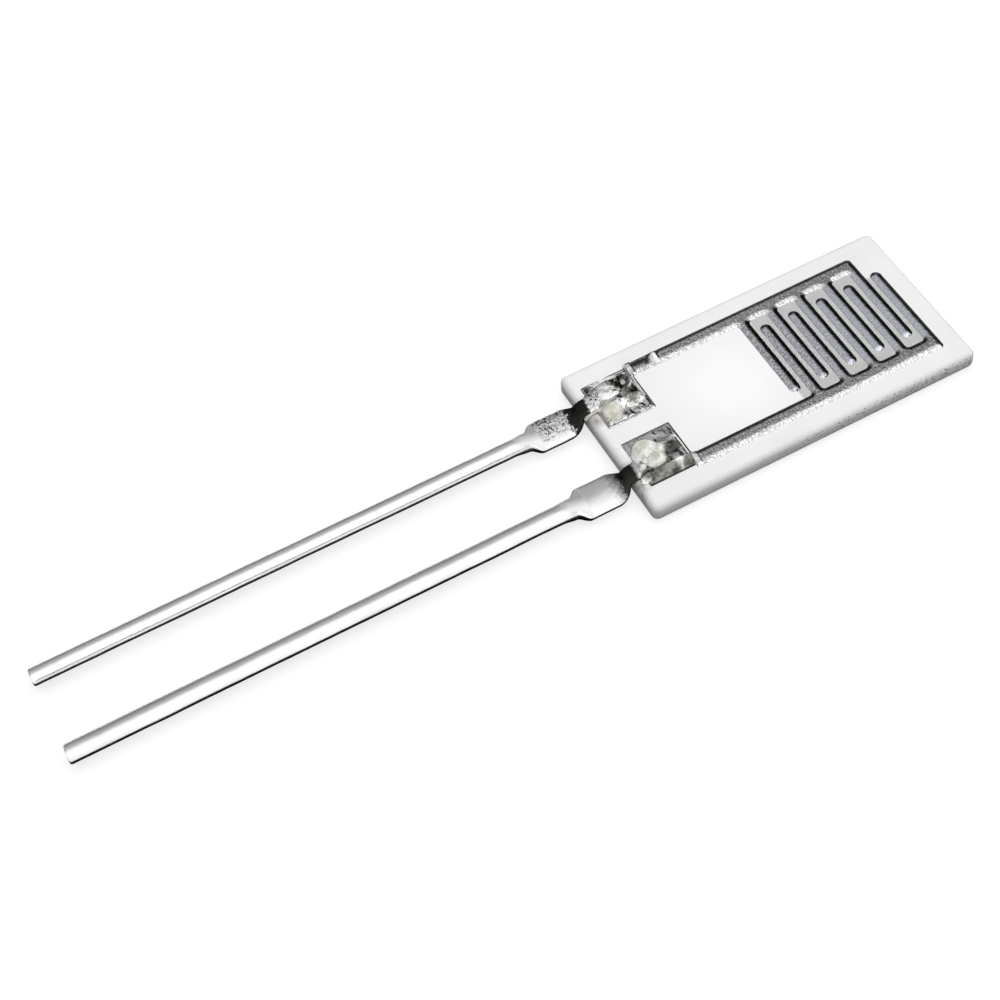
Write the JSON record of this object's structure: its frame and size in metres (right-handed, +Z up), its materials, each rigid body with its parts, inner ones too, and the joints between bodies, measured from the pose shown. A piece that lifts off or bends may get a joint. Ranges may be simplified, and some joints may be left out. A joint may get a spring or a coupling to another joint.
{
  "type": "humidity sensor element",
  "caption": "Bare resistive humidity element: a small ceramic plate with interlocking printed comb electrodes and two flattened wire leads soldered on top.",
  "frame": {"origin": "centre of the ceramic plate's underside", "axes": "+X along the plate, away from the leads; +Z up through the plate, towards the printed side; +Y across the plate, towards the back lead"},
  "size_m": [0.0261, 0.0052, 0.001],
  "materials": {
    "alumina": "matte",
    "film": "satin",
    "pad_print": "satin",
    "electrode_print": "satin",
    "tinned_wire": "satin",
    "solder": "gloss"
  },
  "bodies": {
    "root": {"ceramic_substrate": "alumina", "sensing_film": "film", "back_solder_pad": "pad_print", "front_solder_pad": "pad_print", "back_electrode_comb": "electrode_print", "front_electrode_comb": "electrode_print", "back_lead": "tinned_wire", "front_lead": "tinned_wire", "back_solder_joint": "solder", "front_solder_joint": "solder"}
  },
  "joints": []
}
